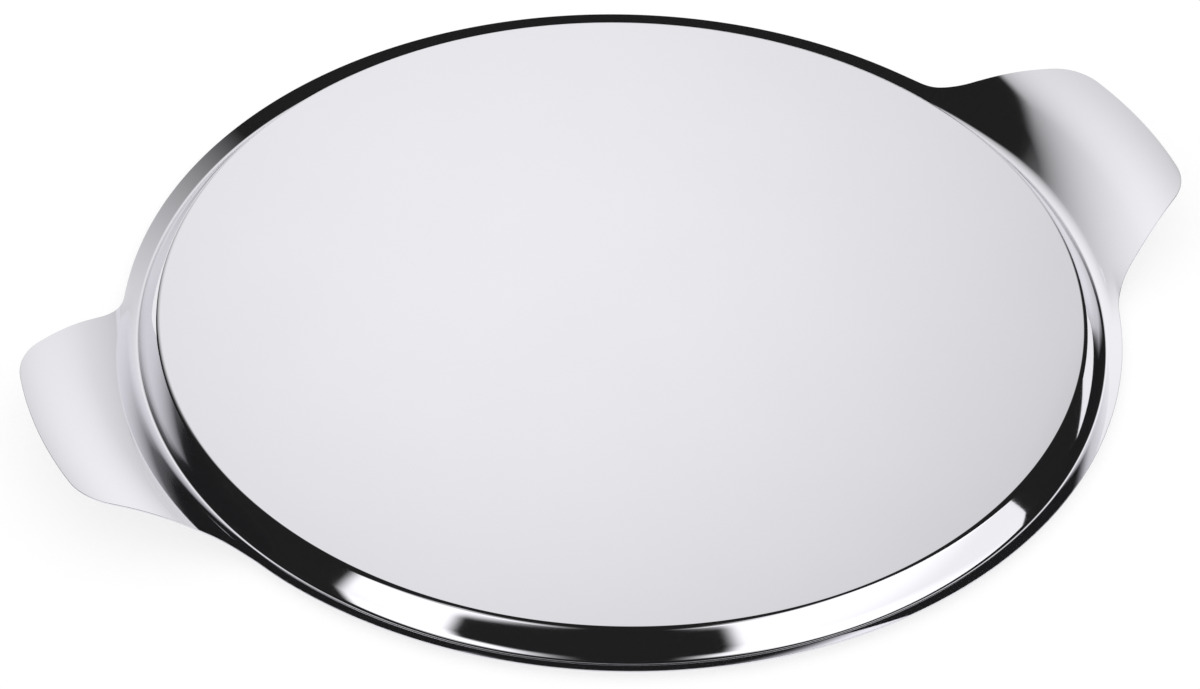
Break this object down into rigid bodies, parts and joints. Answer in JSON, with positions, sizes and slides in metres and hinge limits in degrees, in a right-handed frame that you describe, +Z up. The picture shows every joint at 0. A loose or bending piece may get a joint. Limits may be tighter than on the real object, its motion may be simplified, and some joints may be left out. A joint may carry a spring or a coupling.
{
  "type": "cake tray",
  "caption": "Round pressed steel cake tray: flat raised top, sloping wall, narrow groove that it stands on, conical flange and two raised blade handles in one piece.",
  "frame": {"origin": "on the table, under the centre of the round top", "axes": "+X along the two handles, +Y across them, +Z up out of the flat top"},
  "size_m": [0.3854, 0.32, 0.0187],
  "materials": {
    "polished_steel": "stainless steel sheet polished to a mirror, with very faint fine polishing lines"
  },
  "bodies": {
    "root": {"tray": "polished_steel"}
  },
  "joints": []
}
